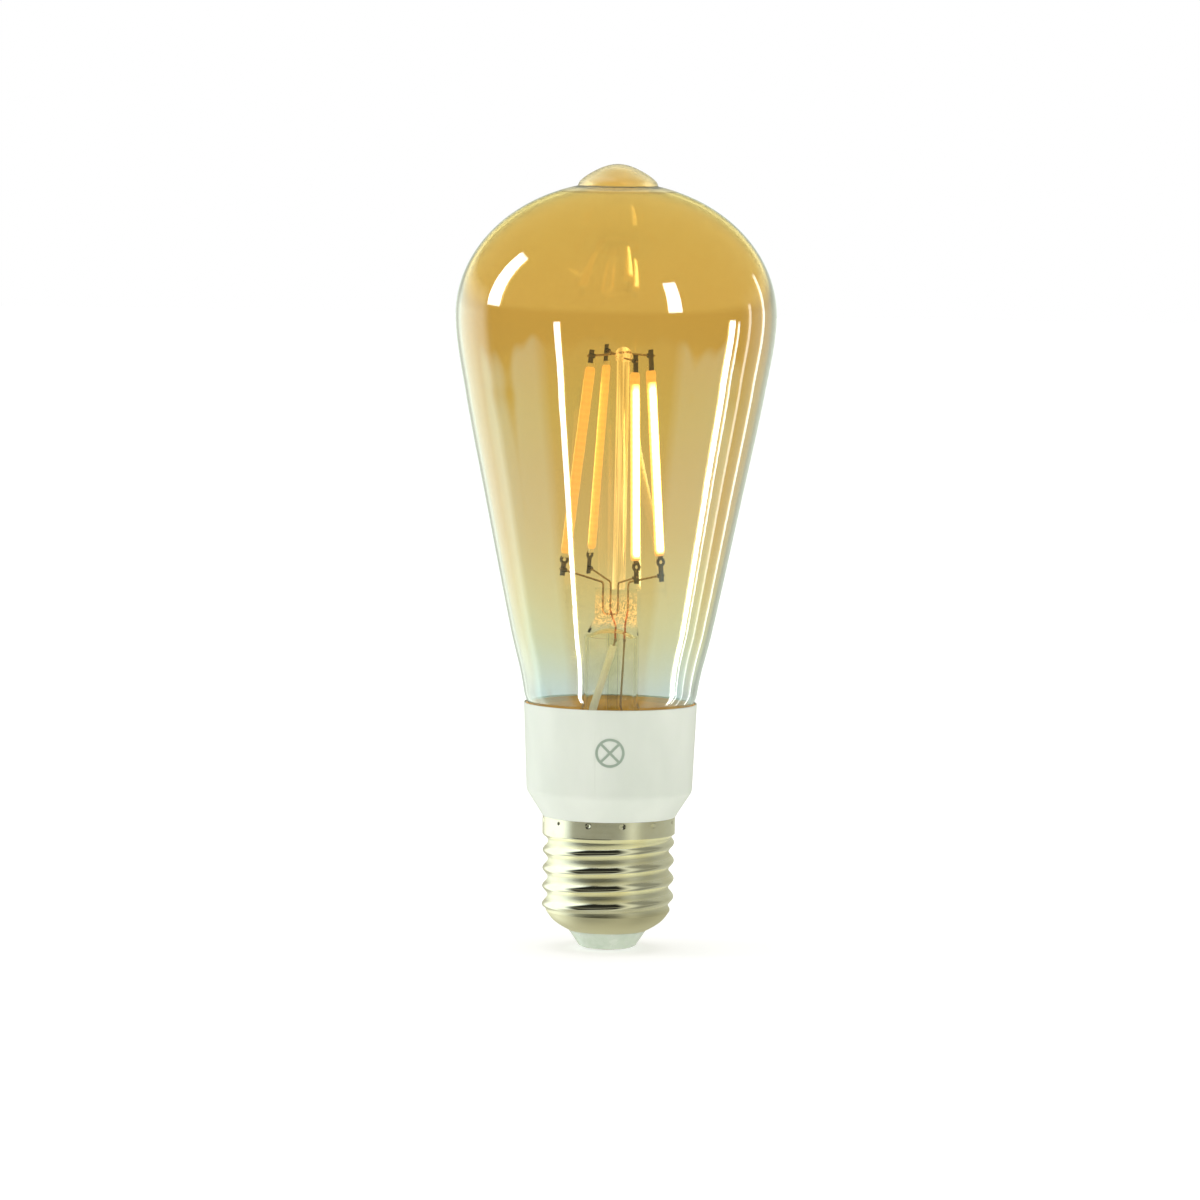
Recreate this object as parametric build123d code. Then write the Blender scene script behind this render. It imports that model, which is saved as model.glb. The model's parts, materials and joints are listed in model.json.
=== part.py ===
from build123d import *
import math
import os

# Smart filament lamp, ST64 envelope on an E27 screw cap.
# Millimetres.  The origin is the middle of the bottom contact's face, +Z points to the glass tip,
# +X is to the right and -Y is the front, where the symbol on the collar is.

# --- driving dimensions -------------------------------------------------------------------------
bulb_height = 157.0
glass_radius = 32.0              # ST64: 64 mm across
glass_wall = 0.9
dome_centre_z = 127.0            # height of the widest ring
dome_rise = 26.5                 # from the widest ring to where a plain dome would end
tip_radius = 8.0                 # foot of the closed-off tip
neck_radius = 14.0
neck_bottom_z = 42.6
shoulder_top = (17.4, 51.8)       # radius and height where the cone turns in to the neck

collar_rim_z = 49.5
collar_foot_z = 26.7
collar_wall = 1.2
cement_top_z = 49.2
cement_bottom_z = 41.0

thread_pitch = 3.629             # E27: 7 threads to the inch
thread_crest_radius = 13.2
thread_root_radius = 12.13
shell_wall = 0.3
skirt_radius = 13.3
skirt_bottom_z = 23.3
shell_bottom_z = 3.7
shell_bottom_radius = 7.8
contact_radius = 3.6
contact_rivet_radius = 1.1

stem_radius = 5.5
stem_wall = 0.9
press_top_z = 72.4               # top of the flat glass press that seals the wires
press_bottom_z = 66.5
press_centre_x = 0.8
press_width = 8.4
press_thickness = 4.4
lead_plane_y = -0.7              # the two leads hang in this plane below the press
knot_z = 62.2                    # where each lead is welded to its seal wire
seal_wire_top_z = 68.0

cage_lean = 1.1                  # the hand-set filament cage leans this far to the right at its top
wire_radius = 0.2
tab_overhang = 1.2               # each filament tab passes its wire by this much
phosphor_length = 37.4
phosphor_width = 2.2
phosphor_thickness = 1.1
die_count = 28

board_width = 19.0
board_thickness = 1.0
board_bottom_z = 8.0
board_top_z = 40.0

# Where each filament stands: plan angle in degrees from +X, how far its lower and upper
# crossings lie above or below the ring that they share, and how many degrees its strip is
# twisted out of the plane of its wires.
lower_ring = (10.7, 75.6)        # radius and height
upper_ring = (6.4, 119.0)
filaments = {
    "right": (25.0, -0.8, 0.0, 5.0),
    "back": (115.0, 0.2, 0.8, 115.0),
    "left": (205.0, 0.8, 0.0, 0.0),
    "front": (295.0, -0.2, -0.8, 100.0),
}

os.makedirs("parts", exist_ok=True)


# --- helpers ------------------------------------------------------------------------------------
def write_part(name, shape):
    """Write one named piece.  Identical small pieces stay separate solids in one file."""
    solids = shape.solids()
    piece = solids[0] if len(solids) == 1 else Compound(children=list(solids))
    export_step(piece, f"parts/{name}.step")


def turned(*curves):
    """Revolve a closed outline, drawn as radius and height, about the lamp's axis."""
    outline = Plane.XZ * make_face(Curve() + list(curves))
    return revolve(outline, Axis.Z)


def turned_polygon(*points, radii=0.0):
    """Revolve a closed polygon of (radius, height) points, with its corners rounded."""
    if radii:
        return turned(FilletPolyline(*points, radius=radii, close=True))
    return turned(Polyline(*points, close=True))


def rod_along(points, radius, bend=0.0):
    """A round wire along straight runs, joined by arcs of one bend radius."""
    path = FilletPolyline(*points, radius=bend) if bend else Polyline(*points)
    section = Plane(origin=path @ 0, z_dir=path % 0) * Circle(radius)
    return sweep(section, path=path)


def block(centre, size):
    """A box given by its centre and its three sizes."""
    return Pos(*centre) * Box(*size)


# --- glass envelope -----------------------------------------------------------------------------
def dome_height_at(radius):
    return dome_centre_z + dome_rise * math.sqrt(1 - (radius / glass_radius) ** 2)


def envelope_side(inset):
    """Cone, shoulder and neck of the glass, from the widest ring down."""
    cone = Spline(
        (glass_radius - inset, dome_centre_z), (29.95 - inset, 112), (25.55 - inset, 90),
        (20.2 - inset, 64), (shoulder_top[0] - inset, shoulder_top[1]),
        tangents=[(0, -1), (-0.14, -1)],
    )
    shoulder = Spline(
        cone @ 1, (16.1 - inset, 48.4), (neck_radius - inset, 46.2),
        tangents=[(-0.14, -1), (0, -1)],
    )
    neck = Line(shoulder @ 1, (neck_radius - inset, neck_bottom_z))
    return [cone, shoulder, neck]


def dome_curve(inset, end_angle):
    """Elliptical dome above the widest ring, up to an angle measured as on the ellipse's circle."""
    across = glass_radius - inset
    rise = dome_rise - inset
    angles = [math.radians(end_angle * i / 4) for i in range(5)]
    points = [(across * math.cos(a), dome_centre_z + rise * math.sin(a)) for a in angles]
    end_tangent = (-across * math.sin(angles[-1]), rise * math.cos(angles[-1]))
    return Spline(*points, tangents=[(0, 1), end_tangent])


def envelope_outer_curves():
    tip_foot = (tip_radius, dome_height_at(tip_radius))
    tip = Spline((0, bulb_height), (5.7, 155.0), tip_foot, tangents=[(1, 0), (0.25, -1)])
    dome = dome_curve(0, math.degrees(math.acos(tip_radius / glass_radius)))
    return [tip, dome, *envelope_side(0)]


def glass_envelope():
    """Blown glass: thin all over, thick where the tip was closed off."""
    inner_dome = dome_curve(glass_wall, 90)
    cut_end = Line((neck_radius, neck_bottom_z), (neck_radius - glass_wall, neck_bottom_z))
    axis = Line((0, dome_centre_z + dome_rise - glass_wall), (0, bulb_height))
    return turned(*envelope_outer_curves(), cut_end, *envelope_side(glass_wall), inner_dome, axis)


def envelope_filled():
    """Everything inside the outer surface of the glass, down to the end of the neck."""
    floor = Line((neck_radius, neck_bottom_z), (0, neck_bottom_z))
    axis = Line((0, neck_bottom_z), (0, bulb_height))
    return turned(*envelope_outer_curves(), floor, axis)


# --- glass stem ---------------------------------------------------------------------------------
def press_outline(z):
    return Pos(press_centre_x, 0, z) * RectangleRounded(press_width, press_thickness, 1.6)


exhaust_centre = (0.4, 1.9)
exhaust_radius = 1.4
bore_top_z = 64.1
flare_edge_z = 45.6


def stem_glass():
    """Flared tube that is fused to the neck below and pressed flat round the wires above."""
    bore_radius = stem_radius - stem_wall
    neck_bore = neck_radius - glass_wall
    flare_top_z = 50.6
    tube_end_z = 62.6
    outside = Spline(
        (neck_bore, flare_edge_z), (7.2, flare_edge_z + 1.7), (stem_radius, flare_top_z),
        tangents=[(-1, 0.12), (0, 1)],
    )
    inside = Spline(
        (bore_radius, flare_top_z - 0.6), (6.5, flare_edge_z + 0.7), (neck_bore, flare_edge_z - stem_wall),
        tangents=[(0, -1), (1, -0.12)],
    )
    tube = turned(
        outside,
        Line(outside @ 1, (stem_radius, tube_end_z)),
        Line((stem_radius, tube_end_z), (bore_radius, tube_end_z)),
        Line((bore_radius, tube_end_z), inside @ 0),
        inside,
        Line(inside @ 1, outside @ 0),
    )
    shoulder = loft([Pos(0, 0, tube_end_z) * Circle(stem_radius), press_outline(press_bottom_z)])
    press = extrude(press_outline(press_bottom_z), press_top_z - press_bottom_z)
    dome_start_z = 61.5
    bore_dome = turned(
        EllipticalCenterArc((0, dome_start_z), bore_radius, bore_top_z - dome_start_z, 0, arc_size=90),
        Line((0, bore_top_z), (0, dome_start_z)),
        Line((0, dome_start_z), (bore_radius, dome_start_z)),
    )
    blow_hole = rod_along([(*exhaust_centre, 62.0), (exhaust_centre[0], 6.5, 67.0)], 0.7)
    return tube + (shoulder + press - bore_dome) - blow_hole


def exhaust_tube():
    """Pumping tube, sealed off below with a rounded end."""
    bore = 0.9
    tip_z = 43.6
    top_z = bore_top_z + 0.6
    tube = Pos(*exhaust_centre, tip_z) * Cylinder(
        exhaust_radius, top_z - tip_z, align=(Align.CENTER, Align.CENTER, Align.MIN)
    )
    tube = fillet(tube.edges().sort_by(Axis.Z)[0], exhaust_radius * 0.9)
    hollow = Pos(*exhaust_centre, tip_z + 2.0) * Cylinder(
        bore, top_z - tip_z, align=(Align.CENTER, Align.CENTER, Align.MIN)
    )
    return tube - hollow


support_rod_radius = 1.3
support_rod_foot = (1.3, 0, press_top_z)
bead_centre = (1.6, 0, upper_ring[1])


def support_rod():
    """Glass rod on the press, with its top melted to a bead round the two cross wires."""
    rod = rod_along([support_rod_foot, bead_centre], support_rod_radius)
    bead = Pos(*bead_centre) * Sphere(1.75)
    under_press = block((0, 0, press_top_z - 2), (20, 20, 4))
    return rod + bead - under_press


# --- wires --------------------------------------------------------------------------------------
def crossing(name, ring, column):
    """Point where a filament's tab is crimped to its wire."""
    angle = math.radians(filaments[name][0])
    radius, height = ring
    centre_x = cage_lean if ring is upper_ring else 0.0
    rise = filaments[name][column]
    return Vector(centre_x + radius * math.cos(angle), radius * math.sin(angle), height + rise)


def lower_crossing(name):
    return crossing(name, lower_ring, 1)


def upper_crossing(name):
    return crossing(name, upper_ring, 2)


def past(point, start, distance):
    """The point a distance beyond `point` on the line from `start`."""
    return point + (point - start).normalized() * distance


def cross_wire(first, second, drop):
    """Straight wire through the bead that joins the tops of two opposite filaments."""
    a = upper_crossing(first)
    b = upper_crossing(second)
    middle = (a + b) / 2 + Vector(0, 0, drop)
    return rod_along([past(a, middle, 1.0), middle, past(b, middle, 1.0)], wire_radius, 2.0)


leads = {
    "back": {"press": (-0.3, 0.6), "hang": (0.8, -3.3, -4.4)},
    "right": {"press": (3.2, 0.3), "hang": (2.6, 2.0, 3.6)},
}
bridge_feet = {"left": (-1.8, -0.3), "front": (1.2, -1.65)}
bend_z = press_top_z + 1.3
bridge_z = 67.4


def lead_wire(name):
    """Nickel wire that rises out of the press and carries the foot of one filament."""
    foot = leads[name]["press"]
    elbow = Vector(*foot, bend_z)
    end = past(lower_crossing(name), elbow, 0.9)
    return rod_along([(*foot, seal_wire_top_z), elbow, end], wire_radius, 0.8)


def bridge_wire():
    """One wire bent through the press, which joins the feet of the left and front filaments."""
    route = []
    for name, turn in (("left", 1), ("front", -1)):
        foot = bridge_feet[name]
        elbow = Vector(*foot, bend_z)
        side = [past(lower_crossing(name), elbow, 0.9), elbow, Vector(*foot, bridge_z)]
        route += side[::turn]
    return rod_along(route, wire_radius, 0.7)


def seal_wire(name):
    """Copper-coated seal wire, the only metal that glass grips without cracking."""
    foot = leads[name]["press"]
    hang_x = leads[name]["hang"][0]
    return rod_along(
        [(*foot, seal_wire_top_z), (hang_x, lead_plane_y, 64.8), (hang_x, lead_plane_y, knot_z)],
        wire_radius, 0.8,
    )


def lead_route(name):
    """Corner points of an outer lead, from its weld knot to the driver board."""
    top_x, flare_x, board_x = leads[name]["hang"]
    corners = [(top_x, knot_z), (flare_x, 49.0), (board_x, 44.0), (board_x, board_top_z - 1.4)]
    return [Vector(x, lead_plane_y, z) for x, z in corners]


def outer_lead(name):
    route = lead_route(name)
    knot = Pos(*route[0]) * Sphere(0.36)
    return rod_along(route, wire_radius, 2.5) + knot - seal_wire(name)


def lead_sleeve():
    """Clear sleeve over the left-hand lead, from under its knot to above the board."""
    knot, flare, bend, board = lead_route("back")
    start = knot + (flare - knot).normalized() * 1.2
    end = Vector(board.X, board.Y, board_top_z + 1.0)
    return rod_along([start, flare, bend, end], 0.75, 2.5) - rod_along(
        [start, flare, bend, end], 0.5, 2.5
    )


# --- filaments ----------------------------------------------------------------------------------
substrate_width = 1.5
substrate_thickness = 0.4
tab_width = 1.0
tab_thickness = 0.25
lap = 0.8                        # length of tab that is bonded to the end of the substrate


def filament(name, carrier_below, carrier_above):
    """The five pieces of one filament, in place between its two wires."""
    low = lower_crossing(name)
    high = upper_crossing(name)
    angle = math.radians(filaments[name][0])
    twist = filaments[name][3]
    along = (high - low).normalized()
    span = (high - low).length
    start = (span - phosphor_length) / 2 + 0.5
    end = start + phosphor_length
    # Local Z runs up the filament, local X is the strip's wide way, and the dies are on the
    # face that looks along local -Y.  Untwisted, local X runs as the wires do, off the axis.
    around = Vector(-math.sin(angle), math.cos(angle), 0)
    place = Plane(origin=low, x_dir=around.cross(along), z_dir=along).location * Rot(0, 0, twist)

    substrate = block(
        (0, 0, (start + end) / 2), (substrate_width, substrate_thickness, phosphor_length + 2 * lap)
    )
    face_y = -substrate_thickness / 2
    die_height = 0.12
    die_pitch = phosphor_length / die_count
    dies = [
        block((0, face_y - die_height / 2, start + (i + 0.5) * die_pitch), (0.5, die_height, 0.9))
        for i in range(die_count)
    ]
    coat = Pos(0, 0, start) * extrude(
        RectangleRounded(phosphor_width, phosphor_thickness, 0.5), phosphor_length
    )
    coat = coat - substrate - Compound(children=dies)

    def tab(tip, joint, wire_z, eye_z=None):
        """Stamped strip with a barrel rolled round its wire, and maybe a round eye."""
        middle_y = face_y - tab_thickness / 2
        strip = block((0, middle_y, (tip + joint) / 2), (tab_width, tab_thickness, abs(joint - tip)))
        along_wire = Rot(0, 0, -twist) * Rot(0, 90, 0)
        barrel = Pos(0, 0, wire_z) * along_wire * Cylinder(0.45, tab_width + 0.2)
        piece = strip + barrel
        if eye_z is not None:
            eye = Pos(0, middle_y, eye_z) * Rot(90, 0, 0)
            piece = piece + eye * Cylinder(0.95, tab_thickness) - eye * Cylinder(0.4, 1)
        return piece

    bottom_tab = tab(-tab_overhang, start, 0, eye_z=start - 1.2)
    top_tab = tab(span + tab_overhang, end, span)
    return {
        "substrate": place * substrate,
        "dies": place * Compound(children=dies),
        "phosphor": place * coat,
        "bottom_tab": place * bottom_tab - carrier_below,
        "top_tab": place * top_tab - carrier_above,
    }


# --- collar and its symbol ----------------------------------------------------------------------
collar_rim_radius = 17.35
collar_low = (16.6, 31.8)        # radius and height where the wall turns in to the cap
collar_slope = (collar_rim_radius - collar_low[0]) / (collar_rim_z - collar_low[1])
seat_low_z = 47.8                # foot of the seat inside the rim
lip_radius = collar_rim_radius - 0.2
spigot_radius = skirt_radius - shell_wall - 0.05
spigot_bottom_z = 23.6
spigot_bore = 11.4


def collar_radius_at(z):
    return collar_low[0] + collar_slope * (z - collar_low[1])


def collar_inside(z):
    """Point on the inner side of the collar's wall, which opens out to a thin lip at the rim."""
    if z <= seat_low_z:
        return (collar_radius_at(z) - collar_wall, z)
    seat_low_radius = collar_radius_at(seat_low_z) - collar_wall
    share = (z - seat_low_z) / (collar_rim_z - seat_low_z)
    return (seat_low_radius + share * (lip_radius - seat_low_radius), z)


def collar_blank():
    """Moulded collar, with its rim thinned inside to a lip that seats the glass shoulder."""
    return turned_polygon(
        (collar_rim_radius, collar_rim_z), collar_low, (13.9, 27.6), (13.4, collar_foot_z),
        (spigot_radius, collar_foot_z), (spigot_radius, spigot_bottom_z),
        (spigot_bore, spigot_bottom_z), (spigot_bore, 28.2), collar_inside(32.4),
        collar_inside(seat_low_z), collar_inside(collar_rim_z),
        radii=[0.12, 2.2, 0.6, 0.3, 0, 0.2, 0.2, 0.8, 2.0, 0, 0],
    )


def dimples():
    """Twelve punch marks that stake the shell to the spigot."""
    depth = 0.2
    ball = 0.6
    reach = skirt_radius + ball - depth
    first_angle = 270 + 12
    return [
        Rot(0, 0, first_angle + 30 * i) * Pos(reach, 0, 25.9) * Sphere(ball) for i in range(12)
    ]


def lamp_symbol():
    """Circle with a cross, the general drawing sign for a lamp, printed on the collar's front."""
    centre_z = 41.0
    radius = 2.9
    stroke = 0.5
    ink = 0.06
    ring = Circle(radius) - Circle(radius - stroke)
    bar = Rectangle(2 * radius - stroke, stroke)
    sign = ring + Rot(0, 0, 45) * bar + Rot(0, 0, -45) * bar
    solid = extrude(Plane.XZ * Pos(0, centre_z) * sign, 30)
    low_z = centre_z - 5
    high_z = centre_z + 5
    skin = turned_polygon(
        (collar_radius_at(low_z), low_z), (collar_radius_at(low_z) + ink, low_z),
        (collar_radius_at(high_z) + ink, high_z), (collar_radius_at(high_z), high_z),
    )
    return solid & skin


def basing_cement():
    """Silicone cement that fills the ring between the neck and the collar."""
    inner_radius = neck_radius - 1
    ring = turned_polygon(
        (inner_radius, cement_bottom_z), collar_inside(cement_bottom_z), collar_inside(seat_low_z),
        collar_inside(cement_top_z), (inner_radius, cement_top_z),
    )
    below_neck = Pos(0, 0, cement_bottom_z) * Cylinder(
        neck_radius, neck_bottom_z - cement_bottom_z, align=(Align.CENTER, Align.CENTER, Align.MIN)
    )
    return ring - envelope_filled() - below_neck


# --- screw cap ----------------------------------------------------------------------------------
thread_mean = (thread_crest_radius + thread_root_radius) / 2
thread_offset = (thread_crest_radius - thread_root_radius) / 2
thread_low_z = 8.4
thread_high_z = 22.4


def thread_circle(z, inset):
    """Section of the rounded thread: a circle whose centre orbits the axis once per pitch."""
    left_crest_z = 8.8
    turn = math.radians(180 + 360 * (z - left_crest_z) / thread_pitch)
    return Pos(thread_offset * math.cos(turn), thread_offset * math.sin(turn), z) * Circle(thread_mean - inset)


def cap_volume(inset):
    """Body of the screw cap, or with an inset the space inside its sheet metal."""
    cone_top = (12.35 - inset, 7.5)
    foot = (shell_bottom_radius - inset, shell_bottom_z)
    flank = Spline(foot, (10.6 - inset, 5.5), cone_top, tangents=[(1, 0.45), (0.45, 1)])
    cone = turned(
        flank, Line(cone_top, (0, cone_top[1])), Line((0, cone_top[1]), (0, foot[1])),
        Line((0, foot[1]), foot),
    )
    run_in = loft([Pos(0, 0, cone_top[1]) * Circle(cone_top[0]), thread_circle(thread_low_z, inset)])
    sections = 36
    step = (thread_high_z - thread_low_z) / sections
    thread = loft([thread_circle(thread_low_z + i * step, inset) for i in range(sections + 1)])
    run_out = loft(
        [thread_circle(thread_high_z, inset), Pos(0, 0, skirt_bottom_z) * Circle(skirt_radius - inset)]
    )
    skirt = Pos(0, 0, skirt_bottom_z) * Cylinder(
        skirt_radius - inset, collar_foot_z - skirt_bottom_z,
        align=(Align.CENTER, Align.CENTER, Align.MIN),
    )
    return cone + run_in + thread + run_out + skirt


def contact_insulator(cavity):
    """Moulded insulator that closes the bottom of the shell and holds the contact."""
    face_z = 0.3
    foot = turned_polygon(
        (0, face_z), (5.05, face_z), (5.7, 0.6), (shell_bottom_radius, shell_bottom_z),
        (0, shell_bottom_z),
    )
    keeper_z = 5.6
    keeper = cavity & block((0, 0, (keeper_z + shell_bottom_z) / 2), (40, 40, keeper_z - shell_bottom_z))
    bore = Cylinder(contact_rivet_radius, 40)
    recess = Cylinder(contact_radius, 2 * contact_disc)
    return foot + keeper - bore - recess


contact_disc = 0.7


def center_contact():
    """Bottom contact: a domed disc with a hollow rivet up through the insulator."""
    disc = turned_polygon(
        (0, 0), (contact_radius - 0.5, 0), (contact_radius, 0.25), (contact_radius, contact_disc),
        (0, contact_disc),
    )
    rivet = Pos(0, 0, contact_disc) * Cylinder(
        contact_rivet_radius, 5.4, align=(Align.CENTER, Align.CENTER, Align.MIN)
    )
    hollow = Pos(0, 0, 1.4) * Cylinder(0.55, 10, align=(Align.CENTER, Align.CENTER, Align.MIN))
    return disc + rivet - hollow


# --- driver and radio ---------------------------------------------------------------------------
front_y = -board_thickness / 2
back_y = board_thickness / 2
radio_y = 5.1                    # near face of the radio board
radio_thickness = 0.8
radio_top_z = 42.0
header_z = 26.0


def driver_board():
    height = board_top_z - board_bottom_z
    board = block((0, 0, board_bottom_z + height / 2), (board_width, board_thickness, height))
    board = chamfer(board.edges().filter_by(Axis.Y), 0.8)
    holes = [
        Pos(x, 0, z) * Rot(90, 0, 0) * Cylinder(0.5, 3)
        for x, z in ((-7.5, 10), (7.5, 10), (-7.5, 38), (7.5, 38))
    ]
    return board - Compound(children=holes)


def on_front(x, z, size):
    """Box standing on the front face of the driver board; size is X, depth and Z."""
    return block((x, front_y - size[1] / 2, z), size)


def on_back(x, z, size):
    return block((x, back_y + size[1] / 2, z), size)


def fusible_resistor():
    axis_y = front_y - 1.5
    body = Pos(0, axis_y, 10.6) * Rot(0, 90, 0) * Cylinder(1.25, 6.2)
    body = fillet(body.edges(), 0.5)
    wire = rod_along(
        [(-4.6, front_y, 10.6), (-4.6, axis_y, 10.6), (4.6, axis_y, 10.6), (4.6, front_y, 10.6)],
        0.25, 0.6,
    )
    return body + wire


capacitor_radius = 3.9
capacitor_z = (13.2, 25.6)
capacitor_y = front_y - capacitor_radius - 0.3


def bulk_capacitor():
    low, high = capacitor_z
    can = Pos(0, capacitor_y, (low + high) / 2) * Cylinder(capacitor_radius, high - low)
    can = fillet(can.edges(), 0.5)
    lead_y = capacitor_y + 1.0
    legs = [
        rod_along([(x, lead_y, high - 0.2), (x, lead_y, high + 1.2), (x, front_y, high + 1.2)], 0.25, 0.6)
        for x in (-1.25, 1.25)
    ]
    return can + legs[0] + legs[1]


def capacitor_sleeve():
    low, high = capacitor_z
    sleeve_wall = 0.18
    tube = Cylinder(capacitor_radius + sleeve_wall, high - low - 2.4) - Cylinder(capacitor_radius, 40)
    return Pos(0, capacitor_y, (low + high) / 2) * tube


def film_capacitor():
    body = on_front(0, 30.4, (7.2, 4.0, 5.6))
    return fillet(body.edges(), 0.35)


inductor_z = 36.6
drum_depth = 5.4


def inductor_core():
    flange = Rot(90, 0, 0) * Cylinder(2.8, 0.8)
    near = Pos(0, front_y - 0.4, inductor_z) * flange
    far = Pos(0, front_y - drum_depth + 0.4, inductor_z) * flange
    post = Pos(0, front_y - drum_depth / 2, inductor_z) * Rot(90, 0, 0) * Cylinder(1.3, drum_depth)
    return near + far + post


def inductor_winding():
    width = drum_depth - 1.6
    coil = Cylinder(2.4, width) - Cylinder(1.3, width)
    return Pos(0, front_y - drum_depth / 2, inductor_z) * Rot(90, 0, 0) * coil


def gull_wing_package(x, z, body, leg_count):
    """Surface-mount package on the back face, with a row of legs along each side."""
    width, depth, height = body
    package = Pos(0, 0.1, 0) * on_back(x, z, body)
    package = chamfer(package.edges(), 0.12)
    pitch = height / leg_count
    for side in (-1, 1):
        for i in range(leg_count):
            leg_z = z - height / 2 + (i + 0.5) * pitch
            package += on_back(x + side * (width / 2 + 0.25), leg_z, (0.9, 0.45, 0.42 * pitch))
    return package


def surface_chips(places, size):
    return Compound(children=[on_back(x, z, size) for x, z in places])


def radio_board():
    width = 14.0
    low_z = 23.0
    board = block(
        (0, radio_y + radio_thickness / 2, (low_z + radio_top_z) / 2),
        (width, radio_thickness, radio_top_z - low_z),
    )
    return chamfer(board.edges().filter_by(Axis.Y), 0.6)


def radio_shield():
    can = block((0, radio_y + radio_thickness + 0.9, 30.0), (9.6, 1.8, 9.0))
    return fillet(can.faces().sort_by(Axis.Y)[-1].edges(), 0.35)


def radio_antenna():
    """Printed meander at the top of the radio board, clear of the metal cap."""
    trace = 0.6
    copper = 0.08
    low_z = 36.2
    high_z = 41.2
    runs = 7
    spacing = 1.7
    first_x = -spacing * (runs - 1) / 2
    middle_z = (low_z + high_z) / 2
    shape = Part()
    for i in range(runs):
        x = first_x + i * spacing
        shape += Pos(x, middle_z) * Box(trace, high_z - low_z, copper)
        if i < runs - 1:
            end_z = (high_z if i % 2 == 0 else low_z) + (-trace if i % 2 == 0 else trace) / 2
            shape += Pos(x + spacing / 2, end_z) * Box(spacing, trace, copper)
    upright = Rot(90, 0, 0) * shape
    return Pos(0, radio_y + radio_thickness + copper / 2, 0) * upright


def pin_header():
    """Row of pins that carries the radio board on the driver board."""
    gap = radio_y - back_y
    header = block((0, back_y + gap / 2, header_z), (8.0, gap - 1.0, 2.0))
    for i in range(4):
        header += block((-3 + 2 * i, back_y + gap / 2, header_z), (0.6, gap, 0.6))
    return header


def live_wire():
    """Insulated lead from the driver board down into the contact's rivet."""
    start_y = back_y + 0.6
    route = [(5.2, start_y, 12.0), (5.2, start_y, 7.1), (0, 0, 6.8), (0, 0, 1.6)]
    return rod_along(route, 0.45, 0.8)


def neutral_wire(cavity):
    """Lead from the driver board out to the inside of the shell."""
    start_y = front_y - 0.5
    route = [(-6.2, start_y, 14.0), (-6.2, start_y, 9.4), (-14.0, start_y, 7.4)]
    return rod_along(route, 0.5, 1.5) & cavity


# --- build everything ---------------------------------------------------------------------------
def main():
    write_part("glass_envelope", glass_envelope())

    wires_below = {
        "right": lead_wire("right"), "back": lead_wire("back"),
        "left": bridge_wire(), "front": bridge_wire(),
    }
    first_cross = cross_wire("left", "right", 0.45)
    second_cross = cross_wire("back", "front", -0.35)
    wires_above = {"left": first_cross, "right": first_cross, "back": second_cross, "front": second_cross}
    write_part("lead_wire_right", wires_below["right"])
    write_part("lead_wire_back", wires_below["back"])
    write_part("bridge_wire", wires_below["left"])
    write_part("cross_wire_left_right", first_cross)
    write_part("cross_wire_back_front", second_cross)

    stem = stem_glass()
    for name in leads:
        stem = stem - seal_wire(name) - wires_below[name]
        write_part(f"seal_wire_{name}", seal_wire(name))
        write_part(f"outer_lead_{name}", outer_lead(name))
    stem = stem - wires_below["left"]
    write_part("stem_flare", stem)
    write_part("exhaust_tube", exhaust_tube() - stem)
    write_part("support_rod", support_rod() - first_cross - second_cross)
    write_part("lead_sleeve", lead_sleeve())

    for name in filaments:
        for piece, shape in filament(name, wires_below[name], wires_above[name]).items():
            write_part(f"filament_{name}_{piece}", shape)

    marks = Compound(children=dimples())
    cavity = cap_volume(shell_wall)
    write_part("screw_shell", cap_volume(0) - cavity - marks)
    write_part("collar", collar_blank() - marks)
    write_part("lamp_symbol", lamp_symbol())
    write_part("basing_cement", basing_cement())
    write_part("contact_insulator", contact_insulator(cavity))
    write_part("center_contact", center_contact())

    write_part("driver_board", driver_board())
    write_part("bridge_rectifier", gull_wing_package(0, 12.5, (3.8, 1.4, 4.6), 2))
    write_part("driver_chip", gull_wing_package(0, 19.5, (3.9, 1.5, 4.9), 4))
    write_part("bulk_capacitor", bulk_capacitor())
    write_part("capacitor_sleeve", capacitor_sleeve())
    write_part("film_capacitor", film_capacitor())
    write_part("inductor_core", inductor_core())
    write_part("inductor_winding", inductor_winding())
    write_part("fusible_resistor", fusible_resistor())
    chips = [(x, z) for x in (-6.0, 6.0) for z in (15.0, 18.0, 21.0)]
    write_part("chip_resistors", surface_chips(chips, (1.6, 0.5, 0.85)))
    write_part("chip_capacitors", surface_chips([(x, z) for x in (-6, 6) for z in (30, 34)], (2, 1.2, 1.2)))
    write_part("radio_board", radio_board())
    write_part("radio_shield", radio_shield())
    write_part("radio_antenna", radio_antenna())
    write_part("pin_header", pin_header())
    write_part("live_wire", live_wire())
    write_part("neutral_wire", neutral_wire(cavity))


main()
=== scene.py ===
import json
import math
import random

import bmesh
import bpy
import numpy as np
from mathutils import Matrix, Vector


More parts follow.
